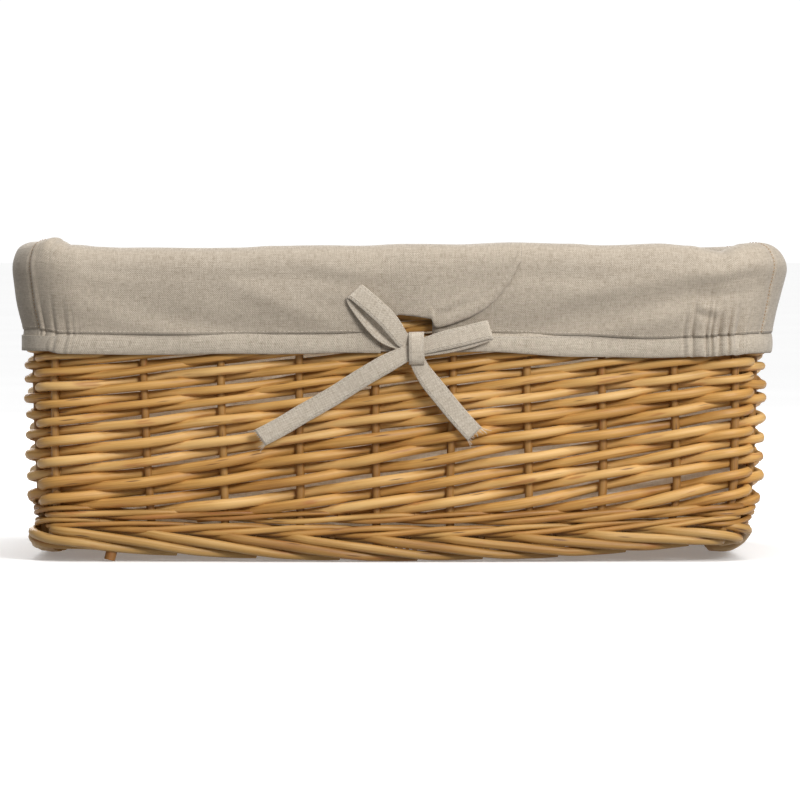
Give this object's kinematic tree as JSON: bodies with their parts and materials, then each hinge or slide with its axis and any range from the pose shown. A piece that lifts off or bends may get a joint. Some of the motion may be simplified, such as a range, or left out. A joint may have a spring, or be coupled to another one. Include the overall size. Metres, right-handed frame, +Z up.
{
  "type": "lined willow basket",
  "caption": "Low rectangular woven willow basket with a lift-out linen liner turned over the rim and tied in a ribbon bow at the front.",
  "frame": {"origin": "on the ground under the middle of the basket", "axes": "+X right along the front, +Y towards the back, +Z up; the bow is on the -Y side"},
  "size_m": [0.4308, 0.3348, 0.1759],
  "materials": {
    "willow_stake": "buff willow, satin",
    "willow_siding": "buff willow, satin",
    "willow_wale": "buff willow, satin",
    "willow_border": "buff willow, satin",
    "linen_liner": "natural plain-weave linen",
    "linen_ribbon": "natural linen tape, stitched edges"
  },
  "bodies": {
    "basket": {"back_siding": "willow_siding", "back_stakes": "willow_stake", "base_sticks": "willow_stake", "base_weave": "willow_siding", "foot_border_corners": "willow_border", "foot_border_long_sides": "willow_border", "foot_border_short_sides": "willow_border", "front_siding": "willow_siding", "front_stakes": "willow_stake", "left_siding": "willow_siding", "left_stakes": "willow_stake", "lower_wale_corners": "willow_wale", "lower_wale_long_sides": "willow_wale", "lower_wale_short_sides": "willow_wale", "right_siding": "willow_siding", "right_stakes": "willow_stake", "siding_corners": "willow_siding", "top_border_corners": "willow_border", "top_border_long_sides": "willow_border", "top_border_short_sides": "willow_border", "upper_wale_corners": "willow_wale", "upper_wale_long_sides": "willow_wale", "upper_wale_short_sides": "willow_wale"},
    "liner": {"back_casing": "linen_liner", "back_cuff": "linen_liner", "bow_knot": "linen_ribbon", "casing_corners": "linen_liner", "cuff_corners": "linen_liner", "drawstring": "linen_ribbon", "front_cuff": "linen_liner", "front_left_casing": "linen_liner", "front_right_casing": "linen_liner", "left_casing": "linen_liner", "left_cuff": "linen_liner", "left_loop": "linen_ribbon", "liner_back_wall": "linen_liner", "liner_corner_seams": "linen_liner", "liner_floor": "linen_liner", "liner_front_wall": "linen_liner", "liner_left_wall": "linen_liner", "liner_right_wall": "linen_liner", "right_casing": "linen_liner", "right_cuff": "linen_liner", "right_loop": "linen_ribbon", "rim_turnover_corners": "linen_liner", "rim_turnover_long_sides": "linen_liner", "rim_turnover_short_sides": "linen_liner"},
    "left_tail": {"left_tail": "linen_ribbon"},
    "right_tail": {"right_tail": "linen_ribbon"}
  },
  "joints": [
    {"name": "liner_lift", "type": "slide", "parent": "basket", "child": "liner", "axis": [0, 0, 1], "range_m": [0, 0.18]},
    {"name": "left_tail_lift", "type": "hinge", "parent": "liner", "child": "left_tail", "pos_m": [0.00139, -0.16622, 0.11501], "axis": [-0.4924, 0, 0.8704], "range_deg": [0, 80]},
    {"name": "right_tail_lift", "type": "hinge", "parent": "liner", "child": "right_tail", "pos_m": [0.00814, -0.16622, 0.10688], "axis": [-0.8221, 0, -0.5693], "range_deg": [0, 80]}
  ]
}
